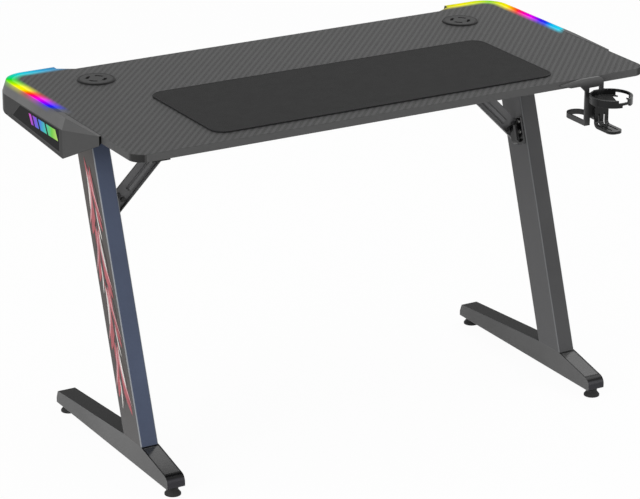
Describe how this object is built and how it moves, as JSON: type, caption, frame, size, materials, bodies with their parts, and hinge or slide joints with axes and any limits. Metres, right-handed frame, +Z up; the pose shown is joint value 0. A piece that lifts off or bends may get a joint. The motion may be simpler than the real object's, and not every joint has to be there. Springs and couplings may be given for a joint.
{
  "type": "gaming desk",
  "caption": "Z-frame gaming desk with a carbon-look board, lit side wings, desk mat, cable grommets, cup holder, headphone hook and levelling feet.",
  "frame": {"origin": "on the floor, in the middle of the whole width and depth", "axes": "+X to the right of the person at the desk, +Y to the rear, +Z up"},
  "size_m": [1.24, 0.711, 0.743],
  "materials": {
    "board_laminate": "satin",
    "wing_plastic": "satin",
    "black_plastic": "matte",
    "toe_plastic": "satin",
    "light_bar": "frosted",
    "lit_motif": "frosted",
    "circuit": "matte",
    "mat_cloth": "woven",
    "steel_paint": "satin",
    "zinc": "satin",
    "black_screws": "satin",
    "foot_rubber": "matte"
  },
  "bodies": {
    "desk_frame": {"board_screws": "zinc", "brace_bolts": "black_screws", "cup_cradle": "black_plastic", "cup_holder_bracket": "black_plastic", "cup_screws": "zinc", "foot_nuts": "zinc", "front_cross_rail": "steel_paint", "headphone_hook": "black_plastic", "hook_screws": "zinc", "left_badge_board": "circuit", "left_badge_lens": "lit_motif", "left_brace": "steel_paint", "left_foot_beam": "steel_paint", "left_grommet_bush": "black_plastic", "left_heel_cap": "black_plastic", "left_led_strip": "circuit", "left_leg": "steel_paint", "left_light_diffuser": "light_bar", "left_side_panel": "wing_plastic", "left_toe_plate": "toe_plastic", "left_top_rail": "steel_paint", "panel_screws": "zinc", "rail_bolts": "zinc", "rear_cross_rail": "steel_paint", "right_badge_board": "circuit", "right_badge_lens": "lit_motif", "right_brace": "steel_paint", "right_foot_beam": "steel_paint", "right_grommet_bush": "black_plastic", "right_heel_cap": "black_plastic", "right_led_strip": "circuit", "right_leg": "steel_paint", "right_light_diffuser": "light_bar", "right_side_panel": "wing_plastic", "right_toe_plate": "toe_plastic", "right_top_rail": "steel_paint", "tabletop": "board_laminate", "top_rail_caps": "black_plastic"},
    "left_front_foot": {"left_front_foot_stud": "zinc", "left_front_foot_pad": "foot_rubber"},
    "left_rear_foot": {"left_rear_foot_stud": "zinc", "left_rear_foot_pad": "foot_rubber"},
    "right_front_foot": {"right_front_foot_stud": "zinc", "right_front_foot_pad": "foot_rubber"},
    "right_rear_foot": {"right_rear_foot_stud": "zinc", "right_rear_foot_pad": "foot_rubber"},
    "left_cap": {"left_grommet_cap": "black_plastic"},
    "right_cap": {"right_grommet_cap": "black_plastic"},
    "desk_mat": {"mouse_mat": "mat_cloth"}
  },
  "joints": [
    {"name": "left_front_foot_level", "type": "slide", "parent": "desk_frame", "child": "left_front_foot", "axis": [0, 0, -1], "range_m": [0, 0.012]},
    {"name": "left_rear_foot_level", "type": "slide", "parent": "desk_frame", "child": "left_rear_foot", "axis": [0, 0, -1], "range_m": [0, 0.012]},
    {"name": "right_front_foot_level", "type": "slide", "parent": "desk_frame", "child": "right_front_foot", "axis": [0, 0, -1], "range_m": [0, 0.012]},
    {"name": "right_rear_foot_level", "type": "slide", "parent": "desk_frame", "child": "right_rear_foot", "axis": [0, 0, -1], "range_m": [0, 0.012]},
    {"name": "left_cap_lift", "type": "slide", "parent": "desk_frame", "child": "left_cap", "axis": [0, 0, 1], "range_m": [0, 0.04]},
    {"name": "right_cap_lift", "type": "slide", "parent": "desk_frame", "child": "right_cap", "axis": [0, 0, 1], "range_m": [0, 0.04]},
    {"name": "mat_lift", "type": "slide", "parent": "desk_frame", "child": "desk_mat", "axis": [0, 0, 1], "range_m": [0, 0.05]}
  ]
}
